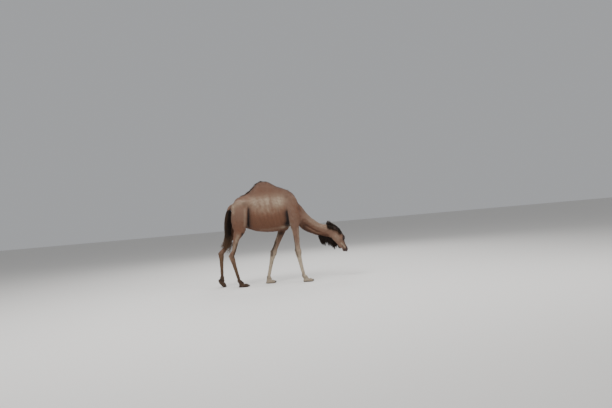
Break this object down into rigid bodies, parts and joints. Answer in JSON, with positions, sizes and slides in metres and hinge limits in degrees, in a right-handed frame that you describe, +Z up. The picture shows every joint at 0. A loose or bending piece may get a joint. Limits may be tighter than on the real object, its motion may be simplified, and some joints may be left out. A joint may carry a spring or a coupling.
{
  "type": "dromedary camel",
  "caption": "Life-size one-humped camel walking slowly with its head lowered to browse, a still museum-like model that stands on its own feet.",
  "frame": {"origin": "middle of the camel's bounding box, on the ground it stands on", "axes": "+X forward, the way the camel faces; +Y to the camel's left; +Z up"},
  "size_m": [2.6192, 0.585, 2.0288],
  "materials": {
    "coat_trunk": "short taupe-brown coat, paler and greyer on the ribs, over skin",
    "coat_neck": "short warm grey-brown coat over skin",
    "coat_foreleg": "very short pale grey hair over skin",
    "coat_hind_leg": "very short dark rusty-brown hair over skin",
    "tail": "brown hair on the dock of the tail",
    "long_hair": "long black hair in locks",
    "eye": "wet dark brown eye",
    "nail": "dull dark horn"
  },
  "bodies": {
    "root": {"trunk": "coat_trunk", "neck": "coat_neck", "head": "coat_neck", "ear_left": "coat_neck", "ear_right": "coat_neck", "eye_left": "eye", "eye_right": "eye", "tail": "tail", "tail_tuft": "long_hair", "throat_beard": "long_hair", "poll_mane": "long_hair", "leg_fore_left_upper": "coat_trunk", "leg_fore_left_lower": "coat_foreleg", "foot_fore_left": "coat_foreleg", "leg_fore_right_upper": "coat_trunk", "leg_fore_right_lower": "coat_foreleg", "foot_fore_right": "coat_foreleg", "leg_hind_left_upper": "coat_trunk", "leg_hind_left_lower": "coat_hind_leg", "foot_hind_left": "coat_hind_leg", "leg_hind_right_upper": "coat_trunk", "leg_hind_right_lower": "coat_hind_leg", "foot_hind_right": "coat_hind_leg", "nail_fore_left_inner": "nail", "nail_fore_left_outer": "nail", "nail_fore_right_inner": "nail", "nail_fore_right_outer": "nail", "nail_hind_left_inner": "nail", "nail_hind_left_outer": "nail", "nail_hind_right_inner": "nail", "nail_hind_right_outer": "nail"}
  },
  "joints": []
}
